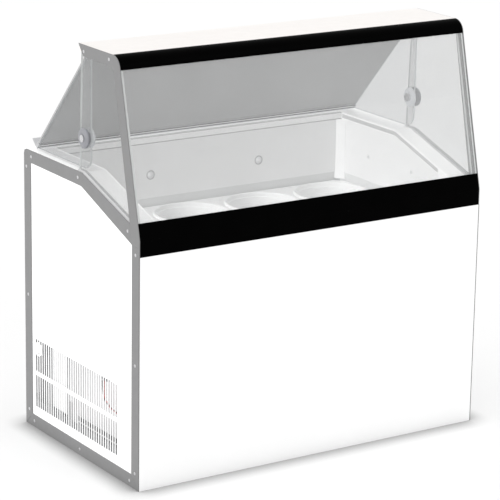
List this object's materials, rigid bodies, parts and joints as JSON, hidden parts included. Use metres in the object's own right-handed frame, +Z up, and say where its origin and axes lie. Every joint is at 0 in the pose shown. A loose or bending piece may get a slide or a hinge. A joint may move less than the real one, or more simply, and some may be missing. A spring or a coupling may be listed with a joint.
{
  "type": "ice cream dipping freezer",
  "caption": "Insulated chest freezer with a sloped glass canopy, a rear lid that swings under the canopy and lift-out tub plates.",
  "frame": {"origin": "on the floor under the middle of the case", "axes": "+X to the right seen from the customer side, +Y towards the server at the back, +Z up"},
  "size_m": [1.2, 0.685, 1.246],
  "materials": {
    "grey_paint": "satin grey powder coat",
    "white_paint": "smooth white powder coat",
    "dark_paint": "dark grey paint",
    "zinc": "bright zinc plated",
    "galvanised": "galvanised sheet",
    "black_rubber": "matt black",
    "foam": "foamed-in-place insulation",
    "liner_alu": "white-lacquered aluminium",
    "white_plastic": "white moulded plastic",
    "fixing_plastic": "pale grey domes",
    "black_trim": "gloss black",
    "clear_glass": "clear safety glass",
    "clear_acrylic": "clear acrylic sheet",
    "smoked_panel": "smoke grey acrylic",
    "anodised": "satin anodised",
    "channel_plastic": "grey channel",
    "hinge_plastic": "blue grey moulding",
    "copper": "bare copper tube",
    "black_enamel": "black enamel",
    "coil_fins": "dusty fins",
    "fan_plastic": "dark moulded",
    "red_wire": "red insulated wire",
    "dial_plastic": "white moulding",
    "box_plastic": "dark grey moulding",
    "black_plastic": "black moulding"
  },
  "bodies": {
    "cabinet": {"frame_rear_posts": "grey_paint", "frame_low_strips": "grey_paint", "frame_front_posts": "grey_paint", "frame_top_rails": "grey_paint", "canopy_pillars": "grey_paint", "front_panel": "white_paint", "side_panel_left": "white_paint", "side_panel_right": "white_paint", "rear_panel": "white_paint", "frame_screws": "zinc", "base_pan": "dark_paint", "glide_feet": "black_rubber", "compartment_deck": "galvanised", "insulation": "foam", "liner_tank": "liner_alu", "well_linings_long": "white_plastic", "well_linings_side": "white_plastic", "corner_posts": "white_plastic", "lining_fixings": "fixing_plastic", "rim_cap_rear": "white_plastic", "rim_caps_side": "white_plastic", "rim_cap_front": "white_plastic", "front_trim_lower": "black_trim", "front_trim_upper": "black_trim", "front_glass": "clear_glass", "front_glass_seal": "black_rubber", "top_shelf": "white_paint", "side_glass_left": "clear_glass", "side_glass_right": "clear_glass", "side_glass_channels": "channel_plastic", "hinge_fixed_discs": "hinge_plastic", "hinge_bolts": "zinc", "plate_ledges": "galvanised", "evaporator_tube": "copper", "compressor_shell": "black_enamel", "compressor_feet": "black_enamel", "compressor_mounts": "black_rubber", "condenser_coil": "coil_fins", "fan_shroud": "galvanised", "fan_motor": "black_enamel", "fan_bracket": "galvanised", "filter_drier": "copper", "copper_lines": "copper", "electrics_tray": "white_paint", "wiring_loom": "red_wire", "thermostat_bezel": "dial_plastic", "electrical_boxes": "box_plastic", "power_inlet_gland": "black_plastic", "drain": "white_plastic"},
    "rear_lid": {"lid_panel": "smoked_panel", "lid_bottom_rail": "anodised", "lid_top_rail": "anodised", "lid_seal": "black_rubber", "lid_wing_left": "clear_acrylic", "lid_wing_right": "clear_acrylic", "hinge_inner_discs": "hinge_plastic"},
    "left_tub_plate": {"tub_plate_left": "white_plastic"},
    "right_tub_plate": {"tub_plate_right": "white_plastic"},
    "condenser_fan": {"fan_blade": "fan_plastic"},
    "thermostat_knob": {"thermostat_dial": "dial_plastic"}
  },
  "joints": [
    {"name": "lid_swing", "type": "hinge", "parent": "cabinet", "child": "rear_lid", "pos_m": [0, -0.0115, 0.97], "axis": [1, 0, 0], "range_deg": [0, 88]},
    {"name": "left_plate_lift", "type": "slide", "parent": "cabinet", "child": "left_tub_plate", "axis": [0, 0, 1], "range_m": [0, 0.08]},
    {"name": "right_plate_lift", "type": "slide", "parent": "cabinet", "child": "right_tub_plate", "axis": [0, 0, 1], "range_m": [0, 0.08]},
    {"name": "fan_spin", "type": "hinge", "parent": "cabinet", "child": "condenser_fan", "pos_m": [-0.411, 0.2025, 0.158], "axis": [0, 1, 0], "continuous": true},
    {"name": "thermostat_turn", "type": "hinge", "parent": "cabinet", "child": "thermostat_knob", "pos_m": [-0.6, 0.2605, 0.258], "axis": [-1, 0, 0], "range_deg": [0, 270]}
  ]
}
